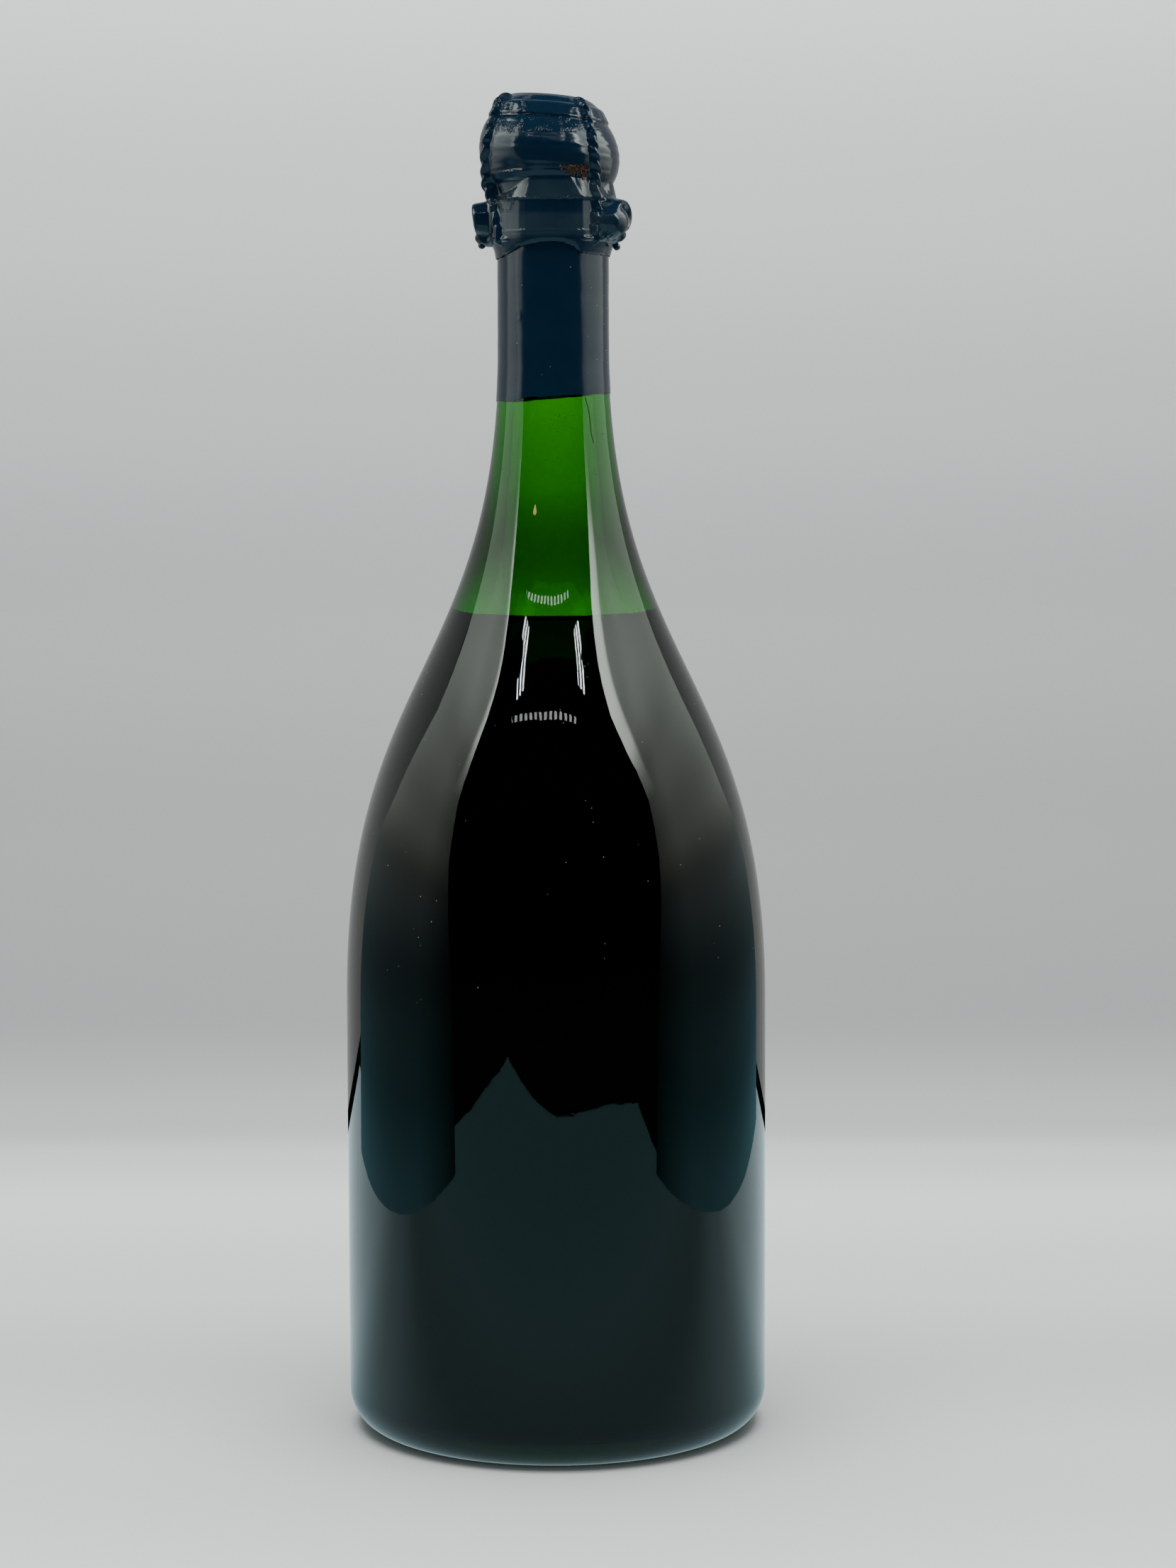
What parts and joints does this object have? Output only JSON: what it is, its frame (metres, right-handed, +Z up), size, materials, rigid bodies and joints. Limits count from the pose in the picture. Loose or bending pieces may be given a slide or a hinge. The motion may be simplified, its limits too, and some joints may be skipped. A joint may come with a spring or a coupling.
{
  "type": "champagne bottle",
  "caption": "Sealed green glass magnum with a deep punt, wine, a wired mushroom cork and a tight dark blue capsule over head and neck.",
  "frame": {"origin": "middle of the foot, on the surface the bottle stands on", "axes": "+Z up along the bottle's axis; -Y faces the viewer of the picture"},
  "size_m": [0.118, 0.118, 0.3727],
  "materials": {
    "green_glass": "polished",
    "wine": "liquid",
    "agglomerate_cork": "matte",
    "natural_cork": "matte",
    "tinplate": "satin",
    "cage_wire": "satin",
    "capsule_skin": "gloss"
  },
  "bodies": {
    "bottle": {"glass_bottle": "green_glass", "wine": "wine", "capsule_sleeve": "capsule_skin"},
    "cork": {"cork_body": "agglomerate_cork", "cork_disc_upper": "natural_cork", "cork_disc_lower": "natural_cork"},
    "cage": {"crown_cap": "tinplate", "cage_top_ring": "cage_wire", "cage_leg_left": "cage_wire", "cage_leg_right": "cage_wire", "cage_leg_back_right": "cage_wire", "cage_leg_back_left": "cage_wire", "cage_belt": "cage_wire", "take_up_root": "cage_wire", "take_up_loop": "cage_wire"},
    "eyelet_stem": {"eyelet_root": "cage_wire"},
    "eyelet": {"eyelet_loop": "cage_wire"},
    "hood": {"capsule_hood": "capsule_skin", "capsule_top_disc": "capsule_skin"}
  },
  "joints": [
    {"name": "cork_draw", "type": "slide", "parent": "bottle", "child": "cork", "axis": [0, 0, 1], "range_m": [0, 0.04]},
    {"name": "cage_lift", "type": "slide", "parent": "cork", "child": "cage", "axis": [0, 0, 1], "range_m": [0, 0.045], "deforming": ["cage_leg_left", "cage_leg_right", "cage_leg_back_right", "cage_leg_back_left", "cage_belt", "take_up_root"]},
    {"name": "eyelet_twist", "type": "hinge", "parent": "cage", "child": "eyelet_stem", "pos_m": [0.01635, -0.0066, 0.33232], "axis": [0.9272, -0.3746, 0], "range_deg": [0, 1080], "deforming": ["eyelet_root"]},
    {"name": "eyelet_fold", "type": "hinge", "parent": "eyelet_stem", "child": "eyelet", "pos_m": [0.01878, -0.00759, 0.33232], "axis": [0.3746, 0.9272, 0], "range_deg": [0, 110]},
    {"name": "hood_lift", "type": "slide", "parent": "cage", "child": "hood", "axis": [0, 0, 1], "range_m": [0, 0.06], "deforming": ["capsule_hood"]}
  ]
}
